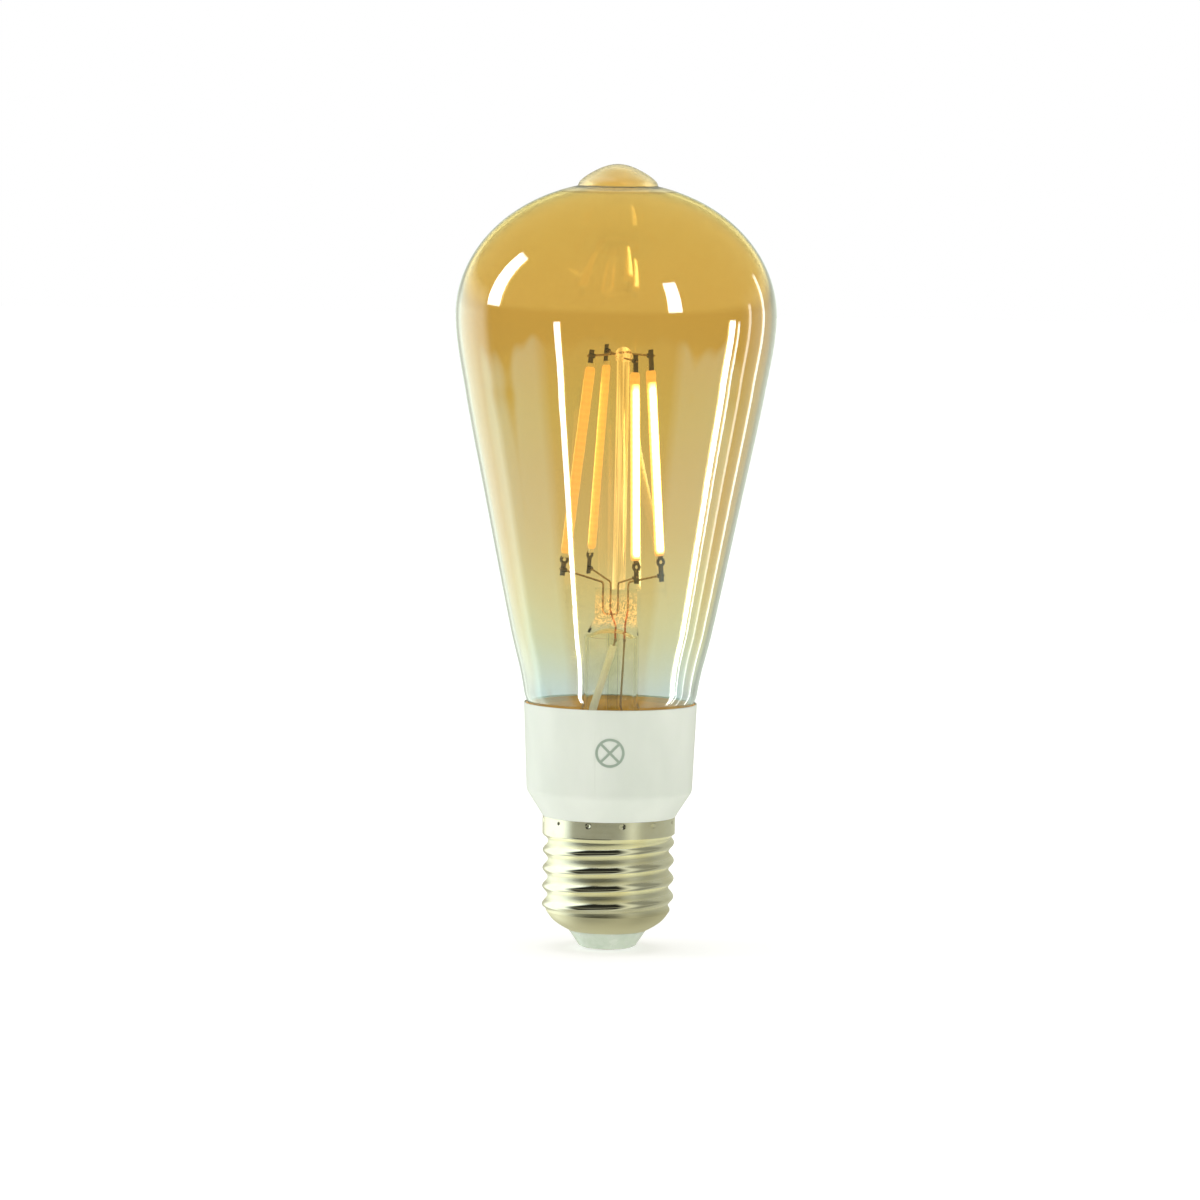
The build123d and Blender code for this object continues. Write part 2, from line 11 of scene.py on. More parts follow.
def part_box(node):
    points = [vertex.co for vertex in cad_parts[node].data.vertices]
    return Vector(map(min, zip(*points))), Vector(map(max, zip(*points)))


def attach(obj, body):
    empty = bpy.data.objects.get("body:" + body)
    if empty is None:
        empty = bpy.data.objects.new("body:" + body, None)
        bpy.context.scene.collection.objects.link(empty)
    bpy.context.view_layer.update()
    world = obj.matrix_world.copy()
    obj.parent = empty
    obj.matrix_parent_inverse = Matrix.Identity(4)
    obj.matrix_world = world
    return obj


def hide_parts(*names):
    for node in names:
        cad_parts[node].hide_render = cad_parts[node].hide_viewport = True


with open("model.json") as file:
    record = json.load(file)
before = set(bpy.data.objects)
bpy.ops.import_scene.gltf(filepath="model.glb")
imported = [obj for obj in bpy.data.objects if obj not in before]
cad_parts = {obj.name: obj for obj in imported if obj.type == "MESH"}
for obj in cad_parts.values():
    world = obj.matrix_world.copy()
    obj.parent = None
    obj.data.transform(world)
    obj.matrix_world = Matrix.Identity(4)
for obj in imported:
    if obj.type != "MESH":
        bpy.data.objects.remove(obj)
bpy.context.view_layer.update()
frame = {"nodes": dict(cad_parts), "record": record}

# Smart filament lamp: ST64 envelope on an E27 cap.  Metres, +Z up, the front looks along -Y.
MM = 0.001
scene = bpy.context.scene
nodes_in_frame = frame["nodes"]


# --- measures from the frame --------------------------------------------------------------------
glass_low, glass_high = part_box("glass_envelope")
shell_low, shell_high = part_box("screw_shell")
glass_radius = glass_high.x
bulb_top = glass_high.z
neck_bottom = glass_low.z


# --- measures of the rebuilt pieces -------------------------------------------------------------
# Glass: wall, dome, closed-off tip and the hollow under it, neck.
GLASS_WALL = 0.9 * MM
DOME_CENTRE = 127 * MM
DOME_RISE = 26.5 * MM
TIP_RADIUS = 8.0 * MM
TIP_WALL = 1.3 * MM
HOLLOW_RADIUS = 6.6 * MM
NECK_RADIUS = 14.0 * MM
GLASS_COLUMNS = 288

# Heights between which the top of the stem, its shoulder and press, gets a painted golden glow.
PRESS_LOW = 64.2 * MM
PRESS_HIGH = 72.0 * MM

# Screw cap: an eccentric round section that turns with height makes the thread.
THREAD_PITCH = 3.629 * MM
THREAD_MEAN = 12.665 * MM
THREAD_OFFSET = 0.535 * MM
LEFT_CREST = 8.8 * MM
SHELL_WALL = 0.3 * MM
SHELL_COLUMNS = 480
SHELL_ROWS = 230
CONE_FOOT_RADIUS = 7.8 * MM
CONE_RADIUS = 12.35 * MM
CONE_BULGE = 0.9 * MM
CONE_TOP = 7.5 * MM
RUN_IN_TOP = 8.4 * MM
RUN_OUT_LOW = 22.4 * MM
SKIRT_LOW = 23.3 * MM
SKIRT_RADIUS = 13.3 * MM
PUNCH_MARKS = 12
PUNCH_HEIGHT = 25.9 * MM
PUNCH_REACH = 0.52 * MM
PUNCH_DEPTH = 0.30 * MM
FIRST_PUNCH = math.radians(282)

# Filaments: the soft coat over each strip and the row of dies in it.
FILAMENTS = ("right", "back", "left", "front")
COAT_HALF_LENGTH = 18.7 * MM
COAT_HALF_WIDTH = 1.1 * MM
COAT_HALF_DEPTH = 0.55 * MM
COAT_COLUMNS = 28
COAT_ROWS = 90
DIES_IN_ROW = 28


# --- small mesh helpers -------------------------------------------------------------------------
def add_object(name, mesh, slot, *replaced):
    """Put a mesh in the scene as a piece of the lamp."""
    piece = bpy.data.objects.new(name, mesh)
    scene.collection.objects.link(piece)
    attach(piece, "root")
    if replaced:
        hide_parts(*replaced)
    return piece


def mesh_from(name, vertices, faces):
    """A smooth-shaded mesh from vertices and faces."""
    mesh = bpy.data.meshes.new(name)
    mesh.from_pydata([tuple(v) for v in vertices], [], faces)
    mesh.validate()
    mesh.update()
    mesh.shade_smooth()
    return mesh


def lathe(name, profile, columns):
    """Surface of revolution about Z.  Profile points are (radius, height); radius 0 makes a pole."""
    vertices, rings = [], []
    for radius, height in profile:
        if radius < 1e-9:
            rings.append([len(vertices)])
            vertices.append((0, 0, height))
            continue
        start = len(vertices)
        for i in range(columns):
            turn = math.tau * i / columns
            vertices.append((radius * math.cos(turn), radius * math.sin(turn), height))
        rings.append(list(range(start, start + columns)))
    return mesh_from(name, vertices, bridged(rings, columns))


def bridged(rings, columns):
    """Faces between successive rings of vertices, where a ring of one vertex is a pole."""
    faces = []
    for low, high in zip(rings, rings[1:]):
        for i in range(columns):
            j = (i + 1) % columns
            if len(low) == 1:
                faces.append((low[0], high[j], high[i]))
            elif len(high) == 1:
                faces.append((low[i], low[j], high[0]))
            else:
                faces.append((low[i], low[j], high[j], high[i]))
    return faces


def stacked(rings):
    """All the vertices of equal rings in one list, and each ring's places in that list."""
    size = len(rings[0])
    vertices = [v for ring in rings for v in ring]
    index = [list(range(k * size, (k + 1) * size)) for k in range(len(rings))]
    return vertices, index


def smooth_through(points, steps, start_slope, end_slope):
    """Points on a smooth curve through a few (radius, height) points, with the slopes at its ends."""
    pts = [Vector(p) for p in points]
    chords = [0.0]
    for a, b in zip(pts, pts[1:]):
        chords.append(chords[-1] + (b - a).length)
    slopes = []
    for i in range(len(pts)):
        before = max(i - 1, 0)
        after = min(i + 1, len(pts) - 1)
        slopes.append((pts[after] - pts[before]) / (chords[after] - chords[before]))
    slopes[0] = Vector(start_slope).normalized()
    slopes[-1] = Vector(end_slope).normalized()
    line = []
    for i in range(len(pts) - 1):
        length = chords[i + 1] - chords[i]
        for k in range(steps):
            t = k / steps
            ease = t**2 * (3 - 2 * t)
            leaving = slopes[i] * (length * t * (1 - t) ** 2)
            arriving = slopes[i + 1] * (length * t**2 * (1 - t))
            line.append(pts[i] * (1 - ease) + pts[i + 1] * ease + leaving - arriving)
    line.append(pts[-1])
    return [(p.x, p.y) for p in line]


# --- node helpers -------------------------------------------------------------------------------
def new_material(name):
    """A fresh material, its node tree and its main shader."""
    material = bpy.data.materials.new(name)
    material.use_nodes = True
    tree = material.node_tree
    shader = tree.nodes["Principled BSDF"]
    return material, tree, shader


def noise(tree, scale, detail=4.0, rough=0.55, stretch=(1, 1, 1), distort=0.0):
    """Noise in object space, in cycles per metre times the stretch on each axis."""
    place = tree.nodes.new("ShaderNodeTexCoord")
    mapping = tree.nodes.new("ShaderNodeMapping")
    mapping.inputs["Scale"].default_value = stretch
    texture = tree.nodes.new("ShaderNodeTexNoise")
    texture.inputs["Scale"].default_value = scale
    texture.inputs["Detail"].default_value = detail
    texture.inputs["Roughness"].default_value = rough
    texture.inputs["Distortion"].default_value = distort
    tree.links.new(place.outputs["Object"], mapping.inputs["Vector"])
    tree.links.new(mapping.outputs["Vector"], texture.inputs["Vector"])
    return texture.outputs["Fac"]


def span(tree, value, low, high, to_low, to_high):
    """Map a range of a value to another range, clamped."""
    node = tree.nodes.new("ShaderNodeMapRange")
    node.inputs["From Min"].default_value = low
    node.inputs["From Max"].default_value = high
    node.inputs["To Min"].default_value = to_low
    node.inputs["To Max"].default_value = to_high
    tree.links.new(value, node.inputs["Value"])
    return node.outputs["Result"]


def blend_colors(tree, factor, first, second):
    """Mix two colours, each a tuple or a socket."""
    node = tree.nodes.new("ShaderNodeMix")
    node.data_type = "RGBA"
    # The colour mode of this node has its own sockets: 6 and 7 in, 2 out.
    for socket, value in zip(node.inputs[6:8], (first, second)):
        if isinstance(value, tuple):
            socket.default_value = (*value, 1)
        else:
            tree.links.new(value, socket)
    tree.links.new(factor, node.inputs[0])
    return node.outputs[2]


def math_node(tree, operation, first, second=None, third=None):
    """A sum, product or the like of values, each a number or a socket."""
    node = tree.nodes.new("ShaderNodeMath")
    node.operation = operation
    for socket, value in zip(node.inputs, (first, second, third)):
        if value is None:
            continue
        if isinstance(value, (int, float)):
            socket.default_value = value
        else:
            tree.links.new(value, socket)
    return node.outputs[0]


def scaled(tree, color, value):
    """A colour times a value socket."""
    node = tree.nodes.new("ShaderNodeVectorMath")
    node.operation = "SCALE"
    node.inputs[0].default_value = color
    tree.links.new(value, node.inputs["Scale"])
    return node.outputs[0]


def added(tree, *colors):
    """Sum of colours, each a tuple or a socket."""
    total = colors[0]
    for color in colors[1:]:
        node = tree.nodes.new("ShaderNodeVectorMath")
        node.operation = "ADD"
        for socket, value in zip(node.inputs, (total, color)):
            if isinstance(value, tuple):
                socket.default_value = value
            else:
                tree.links.new(value, socket)
        total = node.outputs[0]
    return total


def object_axes(tree):
    """X, Y and Z of the point in the object's own space."""
    place = tree.nodes.new("ShaderNodeTexCoord")
    parts = tree.nodes.new("ShaderNodeSeparateXYZ")
    tree.links.new(place.outputs["Object"], parts.inputs[0])
    return parts.outputs


def bump(tree, shader, height, strength, distance):
    """Fine relief on a shader's surface."""
    node = tree.nodes.new("ShaderNodeBump")
    node.inputs["Strength"].default_value = strength
    node.inputs["Distance"].default_value = distance
    tree.links.new(height, node.inputs["Height"])
    tree.links.new(node.outputs["Normal"], shader.inputs["Normal"])


def mottled(tree, texture, first, second):
    """Two colours in soft patches, by a noise texture."""
    return blend_colors(tree, span(tree, texture, 0.35, 0.65, 0, 1), first, second)


def vary_roughness(tree, shader, texture, smoothest, roughest):
    """Roughness that wanders between two values, by a noise texture."""
    tree.links.new(span(tree, texture, 0.3, 0.7, smoothest, roughest), shader.inputs["Roughness"])


def let_light_through(shader, refraction):
    """Make a shader clear, with an index of refraction."""
    shader.inputs["Transmission Weight"].default_value = 1.0
    shader.inputs["IOR"].default_value = refraction
    shader.inputs["Roughness"].default_value = 0.0


def make_milky(shader, weight, radius, scale):
    """Let some light wander under a shader's surface."""
    shader.inputs["Subsurface Weight"].default_value = weight
    shader.inputs["Subsurface Radius"].default_value = radius
    shader.inputs["Subsurface Scale"].default_value = scale


# --- materials: glass ---------------------------------------------------------------------------
# Tint of the gold film by height in millimetres, from the nearly clear neck up to the tip.
FILM_TINTS = {
    46: (0.70, 0.78, 0.80),
    53.5: (0.75, 0.78, 0.71),
    61.5: (0.785, 0.765, 0.57),
    69.5: (0.815, 0.745, 0.475),
    80: (0.815, 0.69, 0.385),
    93.5: (0.80, 0.65, 0.335),
    109: (0.79, 0.64, 0.28),
    124: (0.79, 0.605, 0.25),
    157: (0.80, 0.63, 0.25),
}
FILM_BOTTOM = min(FILM_TINTS)
FILM_TOP = max(FILM_TINTS)


def coated_glass():
    """Blown glass with a gold film, strong on the dome and fading out above the neck."""
    material, tree, shader = new_material("coated_glass")
    height = object_axes(tree)[2]
    film = tree.nodes.new("ShaderNodeValToRGB")
    film.color_ramp.interpolation = "CARDINAL"
    while len(film.color_ramp.elements) < len(FILM_TINTS):
        film.color_ramp.elements.new(0.5)
    for element, (z, color) in zip(film.color_ramp.elements, FILM_TINTS.items()):
        element.position = (z - FILM_BOTTOM) / (FILM_TOP - FILM_BOTTOM)
        element.color = (*color, 1)
    # Upright streaks shift the fade up and down a little.
    streaks = noise(tree, 90, 3, 0.5, (1, 1, 0.18))
    waver = span(tree, streaks, 0.3, 0.7, -2.2 * MM, 2.2 * MM)
    shifted = math_node(tree, "ADD", height, waver)
    along = span(tree, shifted, FILM_BOTTOM * MM, FILM_TOP * MM, 0, 1)
    tree.links.new(along, film.inputs["Fac"])
    # Painted shade: where the top of the dome is seen edge-on, its film colour is darkened to an olive
    # rim.
    weight = tree.nodes.new("ShaderNodeLayerWeight")
    edge = span(tree, weight.outputs["Facing"], 0.66, 0.90, 0, 1)
    painted_dark_rim = math_node(tree, "MULTIPLY", edge, span(tree, height, 122 * MM, 146 * MM, 0, 1))
    color = blend_colors(tree, painted_dark_rim, film.outputs["Color"], (0.34, 0.34, 0.21))
    # The closed-off tip is thick, cloudy glass, golden in the middle; the pale sage at its edges, where it
    # is seen edge-on, is a painted sheen.
    tip = span(tree, height, 151.6 * MM, 153.4 * MM, 0, 1)
    painted_pale_edge = span(tree, weight.outputs["Facing"], 0.25, 0.75, 0, 1)
    tip_color = blend_colors(tree, painted_pale_edge, (0.92, 0.70, 0.30), (0.76, 0.74, 0.54))
    color = blend_colors(tree, tip, color, tip_color)
    tree.links.new(color, shader.inputs["Base Color"])
    let_light_through(shader, 1.62)
    tree.links.new(math_node(tree, "MULTIPLY", tip, 0.22), shader.inputs["Roughness"])
    ripple = noise(tree, 38, 2, 0.4, (1, 1, 0.35))
    bump(tree, shader, ripple, 0.10, 0.6 * MM)
    return material


def clear_glass():
    """Glass of the stem: nearly clear, with a painted golden glow where its top is pressed flat."""
    material, tree, shader = new_material("clear_glass")
    height = object_axes(tree)[2]
    from_low = span(tree, height, PRESS_LOW, PRESS_LOW + 1.5 * MM, 0, 1)
    from_high = span(tree, height, PRESS_HIGH, PRESS_HIGH - 3 * MM, 0, 1)
    painted_press_glow = math_node(tree, "MULTIPLY", from_low, from_high)
    color = mottled(tree, noise(tree, 260, 3), (0.95, 0.95, 0.88), (0.98, 0.98, 0.94))
    # Painted glow: the press is tinted golden for the filaments' light on it.
    color = blend_colors(tree, painted_press_glow, color, (0.93, 0.83, 0.66))
    tree.links.new(color, shader.inputs["Base Color"])
    let_light_through(shader, 1.12)
    flow = noise(tree, 420, 2, 0.5, (1, 1, 0.3))
    bump(tree, shader, flow, 0.25, 0.4 * MM)
    # Painted glints: golden folds glow on the pinched top of the stem, standing in for the filaments'
    # light that it catches.
    painted_fold_noise = noise(tree, 520, 4, 0.65, (1, 1, 0.8), 2.5)
    lines = math_node(tree, "ABSOLUTE", math_node(tree, "SUBTRACT", painted_fold_noise, 0.5))
    painted_sparkle = math_node(tree, "MULTIPLY", span(tree, lines, 0.03, 0.0, 0, 1), painted_press_glow)
    shader.inputs["Emission Color"].default_value = (1.0, 0.50, 0.20, 1)
    tree.links.new(math_node(tree, "MULTIPLY", painted_sparkle, 1.2), shader.inputs["Emission Strength"])
    return material


def rod_glass():
    """Clear rod with painted glowing streaks, standing in for the filaments' light that it pipes up."""
    material, tree, shader = new_material("rod_glass")
    streaks = noise(tree, 2300, 2, 0.5, (1, 1, 0.02))
    painted_streaks = span(tree, streaks, 0.46, 0.66, 0, 1)
    color = blend_colors(tree, painted_streaks, (0.97, 0.94, 0.84), (1.0, 0.86, 0.62))
    tree.links.new(color, shader.inputs["Base Color"])
    let_light_through(shader, 1.42)
    # Painted glow: the rod is no lamp, yet its streaks glow.
    glow = blend_colors(tree, painted_streaks, (0.10, 0.05, 0.02), (1.0, 0.78, 0.52))
    tree.links.new(glow, shader.inputs["Emission Color"])
    shader.inputs["Emission Strength"].default_value = 0.75
    bump(tree, shader, streaks, 0.3, 0.2 * MM)
    return material


def sleeve():
    """Pale silicone tube with a milky unevenness, and a painted glow for the light from within the stem.
    """
    material, tree, shader = new_material("sleeve_plastic")
    milk = noise(tree, 500, 3, 0.5, (1, 1, 0.3))
    color = mottled(tree, milk, (0.88, 0.82, 0.62), (0.94, 0.90, 0.76))
    tree.links.new(color, shader.inputs["Base Color"])
    # Painted glow standing in for the light from within the stem.
    tree.links.new(color, shader.inputs["Emission Color"])
    shader.inputs["Emission Strength"].default_value = 0.25
    vary_roughness(tree, shader, milk, 0.25, 0.45)
    bump(tree, shader, milk, 0.15, 0.04 * MM)
    return material


# --- materials: metals --------------------------------------------------------------------------
def metal(name, color, rough, grain_scale, stretch=(1, 1, 1), grain=0.12, stain=None):
    """Metal with fine grain in its gloss and colour, and optional staining in patches."""
    material, tree, shader = new_material(name)
    fine = noise(tree, grain_scale, 5, 0.6, stretch)
    shader.inputs["Metallic"].default_value = 1.0
    vary_roughness(tree, shader, fine, rough * 0.75, rough * 1.35)
    darker = tuple(c * 0.93 for c in color)
    lighter = tuple(min(1, c * 1.06) for c in color)
    base = mottled(tree, fine, darker, lighter)
    if stain:
        patches = span(tree, noise(tree, grain_scale * 0.12, 4, 0.6), 0.52, 0.7, 0, 1)
        base = blend_colors(tree, math_node(tree, "MULTIPLY", patches, 0.5), base, stain)
    tree.links.new(base, shader.inputs["Base Color"])
    bump(tree, shader, fine, grain, 0.03 * MM)
    return material


def nickel_shell():
    """Bright nickel with fine lines round the cap and a straw stain, strongest on the cone."""
    material, tree, shader = new_material("nickel_shell")
    shader.inputs["Metallic"].default_value = 1.0
    lines = noise(tree, 700, 3, 0.5, (0.05, 0.05, 1.6))
    patches = noise(tree, 130, 5, 0.6)
    x, y, z = object_axes(tree)
    straw = span(tree, patches, 0.42, 0.72, 0, 0.8)
    cone = span(tree, z, 8.8 * MM, 7.6 * MM, 0, 1)
    stained = math_node(tree, "MAXIMUM", straw, cone)
    base = blend_colors(tree, stained, (0.88, 0.86, 0.71), (0.84, 0.78, 0.55))
    tree.links.new(base, shader.inputs["Base Color"])
    # Crests are polished by lampholders; the grooves, the cone and the skirt stay duller.
    radius_squared = math_node(tree, "MULTIPLY_ADD", x, x, math_node(tree, "MULTIPLY", y, y))
    radius = math_node(tree, "SQRT", radius_squared)
    rough = span(tree, lines, 0.3, 0.7, 0.03, 0.07)
    for added_rough in (
        span(tree, patches, 0.4, 0.75, 0.0, 0.05),
        span(tree, radius, 12.35 * MM, 12.95 * MM, 0.36, 0.0),
        span(tree, z, RUN_OUT_LOW, SKIRT_LOW, 0.0, 0.15),
    ):
        rough = math_node(tree, "ADD", rough, added_rough)
    tree.links.new(rough, shader.inputs["Roughness"])
    bump(tree, shader, lines, 0.08, 0.03 * MM)
    return material


# --- materials: plastics and others -------------------------------------------------------------
def plastic(name, color, rough, mottle=0.04, scale=900):
    """Moulded plastic with a fine orange-peel skin and a slight unevenness of colour."""
    material, tree, shader = new_material(name)
    fine = noise(tree, scale, 4, 0.6)
    broad = noise(tree, scale * 0.05, 3, 0.5)
    low = tuple(c * (1 - mottle) for c in color)
    high = tuple(min(1, c * (1 + mottle)) for c in color)
    tree.links.new(mottled(tree, broad, low, high), shader.inputs["Base Color"])
    vary_roughness(tree, shader, fine, rough * 0.85, rough * 1.2)
    bump(tree, shader, fine, 0.1, 0.02 * MM)
    return material


def collar_plastic():
    """White polycarbonate: satin spark skin, faint flow marks and light handling scuffs."""
    material, tree, shader = new_material("collar_plastic")
    skin = noise(tree, 2600, 3, 0.6)
    flow = noise(tree, 70, 4, 0.5, (1, 1, 0.4))
    scuff = noise(tree, 500, 6, 0.7, (1, 1, 0.08), 0.6)
    flow_marks = span(tree, flow, 0.35, 0.7, 0, 1)
    base = blend_colors(tree, flow_marks, (0.83, 0.865, 0.79), (0.72, 0.765, 0.69))
    scuffed = span(tree, scuff, 0.66, 0.78, 0, 0.35)
    tree.links.new(blend_colors(tree, scuffed, base, (0.62, 0.66, 0.58)), shader.inputs["Base Color"])
    vary_roughness(tree, shader, skin, 0.34, 0.46)
    make_milky(shader, 0.12, (0.6, 0.7, 0.5), 1.2 * MM)
    bump(tree, shader, skin, 0.12, 0.02 * MM)
    return material


def insulator_plastic():
    """Pale green moulding at the end of the cap, cloudy and a little translucent."""
    material, tree, shader = new_material("insulator_plastic")
    cloud = noise(tree, 420, 4, 0.6)
    base = mottled(tree, cloud, (0.63, 0.72, 0.60), (0.73, 0.80, 0.70))
    tree.links.new(base, shader.inputs["Base Color"])
    vary_roughness(tree, shader, cloud, 0.16, 0.30)
    make_milky(shader, 0.35, (0.9, 1.0, 0.8), 1.5 * MM)
    bump(tree, shader, cloud, 0.08, 0.03 * MM)
    return material


def cement():
    """Amber basing cement, lumpy and grainy.  It is translucent, and a painted glow stands in for the
    filaments' light that it passes on.
    """
    material, tree, shader = new_material("cement")
    grain = noise(tree, 900, 5, 0.65)
    lumps = noise(tree, 160, 3, 0.5)
    base = mottled(tree, lumps, (0.60, 0.30, 0.045), (0.42, 0.19, 0.025))
    tree.links.new(base, shader.inputs["Base Color"])
    vary_roughness(tree, shader, grain, 0.35, 0.6)
    # Painted glow: the cement is no lamp.
    tree.links.new(base, shader.inputs["Emission Color"])
    shader.inputs["Emission Strength"].default_value = 0.8
    bump(tree, shader, grain, 0.3, 0.1 * MM)
    return material


def phosphor():
    """Lit LED filament: white over the dies, yellow round them, orange where only the coat glows."""
    material, tree, shader = new_material("phosphor")
    x, y, z = object_axes(tree)
    # Local Y is negative on the dies' side, local Z runs up from the middle of the strip.
    facing = span(tree, y, 0.25 * MM, -0.35 * MM, 0, 1)
    core = span(tree, math_node(tree, "ABSOLUTE", x), 1.00 * MM, 0.45 * MM, 0, 1)
    # The die row starts well below the top tab and runs almost down to the bottom one.
    from_top = math_node(tree, "SUBTRACT", COAT_HALF_LENGTH, z)
    from_bottom = math_node(tree, "ADD", COAT_HALF_LENGTH, z)
    below_top = span(tree, from_top, 2.2 * MM, 4.2 * MM, 0, 1)
    above_bottom = span(tree, from_bottom, 0.4 * MM, 1.6 * MM, 0, 1)
    lit = math_node(tree, "MULTIPLY", below_top, above_bottom)
    bead_turn = math.tau * DIES_IN_ROW / (2 * COAT_HALF_LENGTH)
    beads = math_node(tree, "COSINE", math_node(tree, "MULTIPLY", z, bead_turn))
    bead_glow = span(tree, beads, -1, 1, 0.82, 1.0)
    heart = math_node(tree, "MULTIPLY", math_node(tree, "MULTIPLY", facing, core), lit)
    edge = math_node(tree, "MULTIPLY", facing, lit)
    skin = noise(tree, 1500, 4, 0.6)
    orange = mottled(tree, skin, (1.0, 0.58, 0.26), (1.0, 0.66, 0.34))
    yellow = blend_colors(tree, edge, orange, (1.0, 0.76, 0.30))
    white = blend_colors(tree, heart, yellow, (1.0, 0.90, 0.66))
    glow = math_node(tree, "MULTIPLY_ADD", edge, 1.6, 0.80)
    glow = math_node(tree, "MULTIPLY_ADD", heart, 14.0, glow)
    glow = math_node(tree, "MULTIPLY", glow, bead_glow)
    tree.links.new(white, shader.inputs["Emission Color"])
    tree.links.new(glow, shader.inputs["Emission Strength"])
    shader.inputs["Base Color"].default_value = (0.85, 0.48, 0.12, 1)
    vary_roughness(tree, shader, skin, 0.3, 0.5)
    bump(tree, shader, skin, 0.15, 0.04 * MM)
    return material


NICKEL_BROWN = (0.52, 0.38, 0.24)
MATERIALS = {
    "coated_glass": coated_glass(),
    "clear_glass": clear_glass(),
    "nickel_wire": metal("nickel_wire", NICKEL_BROWN, 0.28, 2200, (1, 1, 0.2), stain=(0.22, 0.15, 0.09)),
    "seal_copper": metal("seal_copper", (0.66, 0.20, 0.09), 0.30, 2600, stain=(0.35, 0.08, 0.04)),
    "sleeve_plastic": sleeve(),
    "filament_substrate": plastic("filament_substrate", (0.86, 0.82, 0.72), 0.45),
    "led_die": plastic("led_die", (0.55, 0.60, 0.75), 0.15),
    "phosphor": phosphor(),
    "filament_tab": metal("filament_tab", (0.16, 0.13, 0.12), 0.35, 1900, stain=(0.07, 0.05, 0.05)),
    "collar_plastic": collar_plastic(),
    "symbol_ink": plastic("symbol_ink", (0.35, 0.43, 0.35), 0.5, 0.06, 1500),
    "cement": cement(),
    "nickel_shell": nickel_shell(),
    "insulator_plastic": insulator_plastic(),
    "contact_metal": metal("contact_metal", (0.72, 0.66, 0.50), 0.22, 1400, stain=(0.40, 0.33, 0.22)),
    "board_laminate": plastic("board_laminate", (0.03, 0.17, 0.07), 0.35, 0.12),
    "package_black": plastic("package_black", (0.02, 0.02, 0.022), 0.5),
    "capacitor_can": metal("capacitor_can", (0.75, 0.76, 0.78), 0.25, 1200),
    "capacitor_film": plastic("capacitor_film", (0.02, 0.025, 0.05), 0.25),
    "capacitor_box": plastic("capacitor_box", (0.45, 0.06, 0.02), 0.2),
    "ferrite": plastic("ferrite", (0.045, 0.045, 0.05), 0.6, 0.15),
    "copper_winding": metal("copper_winding", (0.70, 0.30, 0.12), 0.25, 900, (0.2, 4, 0.2), grain=0.5),
    "resistor_coat": plastic("resistor_coat", (0.28, 0.38, 0.26), 0.3),
    "chip_ceramic": plastic("chip_ceramic", (0.40, 0.31, 0.20), 0.5),
    "shield_steel": metal("shield_steel", (0.70, 0.70, 0.68), 0.3, 800, (4, 1, 1)),
    "antenna_gold": metal("antenna_gold", (0.85, 0.62, 0.25), 0.25, 1200),
    "header_plastic": plastic("header_plastic", (0.03, 0.03, 0.03), 0.5),
    "live_insulation": plastic("live_insulation", (0.20, 0.07, 0.03), 0.35),
    "neutral_insulation": plastic("neutral_insulation", (0.03, 0.10, 0.32), 0.35),
}


def dress_frame():
    """Give every carried-over node the material of its slot, and the rod its own glass with a painted
    glow.
    """
    for row in frame["record"]["subparts"]:
        node = nodes_in_frame[row["node"]]
        node.data.materials.clear()
        node.data.materials.append(MATERIALS[row["material_slot"]])
    rod = nodes_in_frame["support_rod"]
    rod.data.materials[0] = rod_glass()


# --- glass envelope -----------------------------------------------------------------------------
CONE_END_SLOPE = (-0.14, -1)


def cone_line(inset):
    """Side of the glass from the widest ring down to the end of the neck."""
    side = [
        (glass_radius, DOME_CENTRE),
        (29.95 * MM, 112 * MM),
        (25.55 * MM, 90 * MM),
        (20.2 * MM, 64 * MM),
        (17.4 * MM, 51.8 * MM),
    ]
    cone = smooth_through([(r - inset, z) for r, z in side], 22, (0, -1), CONE_END_SLOPE)
    turn_in = [cone[-1], (16.1 * MM - inset, 48.4 * MM), (NECK_RADIUS - inset, 46.2 * MM)]
    shoulder = smooth_through(turn_in, 8, CONE_END_SLOPE, (0, -1))
    return cone + shoulder[1:] + [(NECK_RADIUS - inset, neck_bottom)]


def dome_line(inset, end):
    """Elliptical dome from the widest ring up to an angle, in radians."""
    steps = 40
    across = glass_radius - inset
    rise = DOME_RISE - inset
    return [
        (across * math.cos(end * i / steps), DOME_CENTRE + rise * math.sin(end * i / steps))
        for i in range(1, steps + 1)
    ]


def outer_line():
    """Outline of the outer wall, from the end of the neck up to the middle of the closed-off tip."""
    dome = dome_line(0, math.acos(TIP_RADIUS / glass_radius))
    tip_points = [
        dome[-1],
        (7.55 * MM, 153.6 * MM),
        (5.7 * MM, 155.05 * MM),
        (2.6 * MM, 156.55 * MM),
        (0, bulb_top),
    ]
    tip = smooth_through(tip_points, 8, (-0.25, 1), (-1, 0))
    return cone_line(0)[::-1] + dome + tip[1:-1] + [(0, bulb_top)]


def inner_line():
    """Outline of the inner wall, from the hollow in the tip down to the end of the neck."""
    dome = dome_line(GLASS_WALL, math.acos(HOLLOW_RADIUS / (glass_radius - GLASS_WALL)))
    hollow_top = (0, bulb_top - TIP_WALL)
    hollow_points = [
        dome[-1],
        (5.9 * MM, 153.1 * MM),
        (4.4 * MM, 154.2 * MM),
        (2.2 * MM, 155.3 * MM),
        hollow_top,
    ]
    hollow = smooth_through(hollow_points, 6, (-0.4, 1), (-1, 0))
    return [hollow_top] + hollow[-2::-1] + dome[-2::-1] + cone_line(GLASS_WALL)


